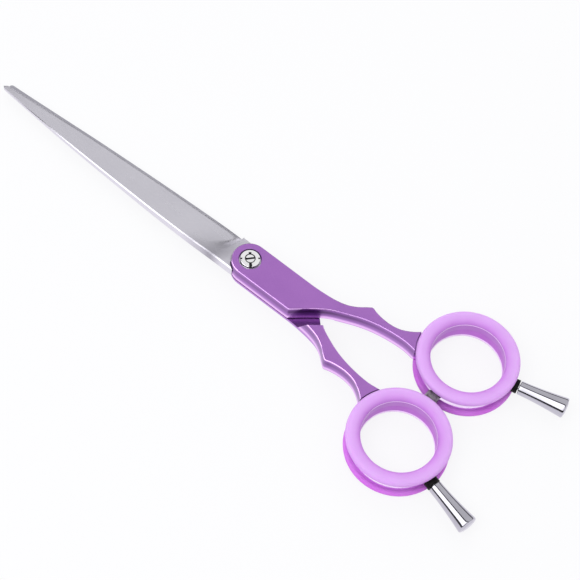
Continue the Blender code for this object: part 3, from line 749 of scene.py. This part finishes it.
def finger_rest(tag):
    """Flared chrome peg with a neck, a stepped rim and a domed end, over a rubber washer."""
    place, start = outward_place(tag)
    tip = start + PEG_LONG
    flare = [(PEG_NECK + (PEG_END - PEG_NECK) * (k / 16) ** PEG_FLARE,
              start + 0.35 + (PEG_LONG - 1.1) * k / 16) for k in range(17)]
    rim = [(PEG_END, tip - 0.55), (PEG_END - 0.04, tip - 0.32), (PEG_END - 0.16, tip - 0.2),
           (PEG_END - 0.4, tip - 0.08), (PEG_END - 0.7, tip - 0.02)]
    dome = [(PEG_NECK * math.cos(math.radians(a)),
             tip + DOME_HIGH * math.sin(math.radians(a))) for a in (0, 15, 30, 45, 60, 75)]
    stud_hole = [(0, start + STUD_HOLE_DEEP), (STUD_HOLE_R, start + STUD_HOLE_DEEP),
                 (STUD_HOLE_R, start)]
    neck = [(PEG_NECK - 0.2, start), (PEG_NECK - 0.03, start + 0.12)]
    profile = stud_hole + neck + flare + rim + dome + [(0, tip + DOME_HIGH)]
    peg = turned(f"{tag}_rest_peg", profile, CHROME, place, 72)
    stands_for(peg, f"{tag}_finger_rest")
    wide, hole, groove = PEG_NECK, WASHER_HOLE_R, 0.08
    near, far = start - 2.3, start - 0.3
    mid = (near + far) / 2
    profile = rounded([(hole, near), (wide, near), (wide, mid - 0.12), (wide - groove, mid),
                       (wide, mid + 0.12), (wide, far), (hole, far)], 0.16)
    washer = turned(f"{tag}_rest_cushion", profile, BLACK, place, 56)
    stands_for(washer, f"{tag}_rest_washer")


def bumper():
    """Soft stop between the rings, with a hole for its pin, a collar line and dark ends."""
    low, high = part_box("bumper_pad")
    centre = (low + high) / 2
    reach = (high.y - low.y) / 2 / MM
    wide = (high.x - low.x) / 2 / MM
    collar = wide - 0.12
    profile = [(0, PIN_HOLE_END), (PIN_HOLE_R, PIN_HOLE_END), (PIN_HOLE_R, -reach),
               (wide, -reach), (wide, -0.25), (collar, -0.1), (collar, 0.1), (wide, 0.25),
               (wide, reach), (0, reach)]
    rim = [point for point in rounded(profile, 0.3) if point[0] > ON_AXIS]
    profile = [(0, PIN_HOLE_END)] + rim + [(0, reach)]
    place = Matrix.Translation(centre) @ Matrix.Rotation(-math.pi / 2, 4, "X")
    obj = turned("ring_bumper", profile, GREY, place, 56)
    obj.data.materials.append(BLACK)
    for face in obj.data.polygons:
        if abs(face.center.y - centre.y) / MM > reach - DARK_END:
            face.material_index = 1
    stands_for(obj, "bumper_pad")


for side_tag in SIDES:
    handle = refined(f"{side_tag}_handle", f"{side_tag}_handle_shell", ANODISED, 0.12)
    polish_and_highlight_groove(handle, side_tag)
for side_tag, steel in zip(SIDES, (FRONT_STEEL, SHADED_REAR_STEEL)):
    refined(f"{side_tag}_blade", f"{side_tag}_blade_ground", steel, 0.04,
            sharp_deg=24)
disc = refined("tension_disc", "tension_disc_plated", PLATED, 0.04)
darken_slots(disc, floor_drop_mm=0.12, reach_mm=2.86)
screw_head = refined("lock_screw", "lock_screw_head", PLATED, 0.03)
darken_slots(screw_head, floor_drop_mm=0.1, reach_mm=1.32, rim_mm=1.27)
refined("pivot_bolt", "pivot_bolt_turned", SCREW, 0.06)
for side_tag in SIDES:
    ring_insert(f"ring_insert_{side_tag}")
    finger_rest(side_tag)
bumper()
for cad_node in ("spring_washer", "tang_screw_1", "tang_screw_2", "front_rest_stud",
                 "rear_rest_stud", "bumper_pin"):
    for held in frame["nodes"][cad_node].material_slots:
        held.material = SCREW


# ---------------------------------------------------------------- stage

PALE = (0.95, 0.95, 0.96)


def studio_world():
    """Pale surround for the eye, and a soft box, a grey side and a dark horizon in gloss.

    The box hangs over +Y. Each ramp runs from its direction's low end to its high end.
    """
    box_power = 2.4
    world = bpy.data.worlds.new("studio")
    bpy.context.scene.world = world
    world.use_nodes = True
    tree = world.node_tree
    shown = tree.nodes["Background"]
    where = add_node(tree, "ShaderNodeTexCoord").outputs["Generated"]
    axes = add_node(tree, "ShaderNodeSeparateXYZ", {0: where}).outputs
    low_side = ramp(tree, axes["Z"], ((0.0, 0.9), (0.02, 0.06), (0.2, 0.06), (0.3, 1.0)))
    box_side = ramp(tree, axes["Z"], ((0.0, 0.5), (0.02, 0.03), (0.40, 0.03), (0.44, 1.0)))
    facing = rescale(tree, axes["Y"], 0.1, 0.2)
    rise = mix_colour(tree, facing, low_side, box_side)
    across = ramp(tree, rescale(tree, axes["Y"], -1.0, 1.0),
                  ((0.0, 0.355), (0.43, 0.34), (0.46, 0.03), (0.54, 0.03), (0.57, 1.0)))
    glossy = mix_colour(tree, 1.0, rise, across, "MULTIPLY")
    box_end = rescale(tree, axes["X"], -0.25, 0.05, 0.45, 1.0)
    box_end = mix_colour(tree, facing, (1.0, 1.0, 1.0), box_end)
    glossy = mix_colour(tree, 1.0, glossy, box_end, "MULTIPLY")
    glossy = mix_colour(tree, 1.0, glossy, (box_power,) * 3, "MULTIPLY")
    ray = add_node(tree, "ShaderNodeLightPath").outputs["Is Glossy Ray"]
    colour = mix_colour(tree, ray, PALE, glossy)
    tree.links.new(colour, shown.inputs["Color"])
    shown.inputs["Strength"].default_value = 1.0


def soft_light(name, place, size, power):
    """A round lamp aimed at the pivot and unseen in gloss, so that metals don't burn out."""
    data = bpy.data.lights.new(name, "AREA")
    data.shape = "DISK"
    data.size = size
    data.energy = power
    lamp = bpy.data.objects.new(name, data)
    lamp.location = place
    lamp.visible_glossy = False
    lamp.rotation_euler = (-Vector(place)).to_track_quat("-Z", "Y").to_euler()
    bpy.context.scene.collection.objects.link(lamp)


def pale_floor():
    """Floor just under the part, near white to the camera and a plain glow in gloss."""
    radius, camera_share, gap = 3.0, 0.9, 0.02 * MM
    bm = bmesh.new()
    bmesh.ops.create_circle(bm, cap_ends=True, radius=radius, segments=96)
    mat, tree, shader = material("pale floor")
    shader.inputs["Base Color"].default_value = (0.93, 0.93, 0.94, 1)
    shader.inputs["Roughness"].default_value = 0.8
    shader.inputs["Specular IOR Level"].default_value = 0.1
    lit = add_node(tree, "ShaderNodeEmission", {"Color": (*PALE, 1)})
    seen = add_node(tree, "ShaderNodeLightPath").outputs
    plain = maths(tree, "MULTIPLY", seen["Is Camera Ray"], camera_share)
    shown = add_node(tree, "ShaderNodeMixShader", {0: plain, 1: shader.outputs[0],
                                                   2: lit.outputs[0]})
    glow = add_node(tree, "ShaderNodeEmission", {"Color": (1.1, 1.08, 1.12, 1)})
    shown = add_node(tree, "ShaderNodeMixShader", {0: seen["Is Glossy Ray"], 1: shown.outputs[0],
                                                   2: glow.outputs[0]})
    tree.links.new(shown.outputs[0], tree.nodes["Material Output"].inputs["Surface"])
    floor = new_object("floor", bm, mat)
    floor.location.z = CAD_LOW.z - gap


def camera():
    data = bpy.data.cameras.new("camera")
    data.sensor_width = CAMERA_SENSOR
    data.lens = CAMERA_LENS
    data.clip_start = 0.01
    eye = bpy.data.objects.new("camera", data)
    eye.location = CAMERA_PLACE
    eye.rotation_euler = [math.radians(a) for a in CAMERA_TURN]
    bpy.context.scene.collection.objects.link(eye)
    bpy.context.scene.camera = eye


studio_world()
soft_light("key", (0.05, 0.35, 0.6), 0.5, 2.2)
soft_light("fill", (0.3, -0.4, 0.5), 0.6, 1.0)
pale_floor()
camera()
bpy.context.scene.view_settings.view_transform = "Standard"
